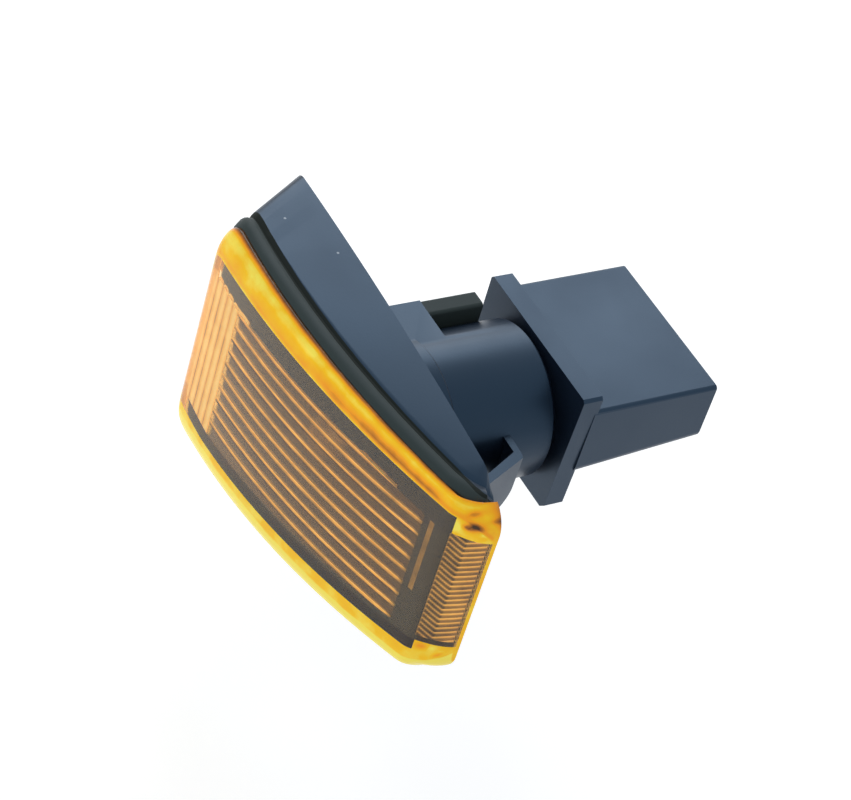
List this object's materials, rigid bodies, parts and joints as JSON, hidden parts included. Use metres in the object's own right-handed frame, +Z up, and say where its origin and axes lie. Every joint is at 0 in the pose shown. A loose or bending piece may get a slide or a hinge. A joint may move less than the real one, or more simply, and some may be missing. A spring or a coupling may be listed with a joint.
{
  "type": "side marker lamp",
  "caption": "Wedge-shaped amber side marker lamp with a black housing, a latch tube and a plug-in bulb holder.",
  "frame": {"origin": "on the axis of the tube, in the plane of the housing's flat back, which lies against the bodywork", "axes": "+X along the lamp towards its thin end, +Y into the car's body along the tube and the plug, +Z up; the lens faces -Y"},
  "size_m": [0.0741, 0.0727, 0.0449],
  "materials": {
    "amber_plastic": "clear amber, polished outside, moulded ribs and flutes inside",
    "housing_plastic": "black, satin",
    "holder_plastic": "black, satin",
    "seal_rubber": "black, matt",
    "bulb_glass": "clear, polished",
    "wire_metal": "drawn wire",
    "contact_metal": "stamped sheet, dull"
  },
  "bodies": {
    "root": {"lens": "amber_plastic", "housing": "housing_plastic", "bulb_holder": "holder_plastic", "seal_ring": "seal_rubber", "bulb_glass": "bulb_glass", "bulb_filament": "wire_metal", "bulb_lead_left": "wire_metal", "bulb_lead_right": "wire_metal", "contact_left": "contact_metal", "contact_right": "contact_metal"}
  },
  "joints": []
}
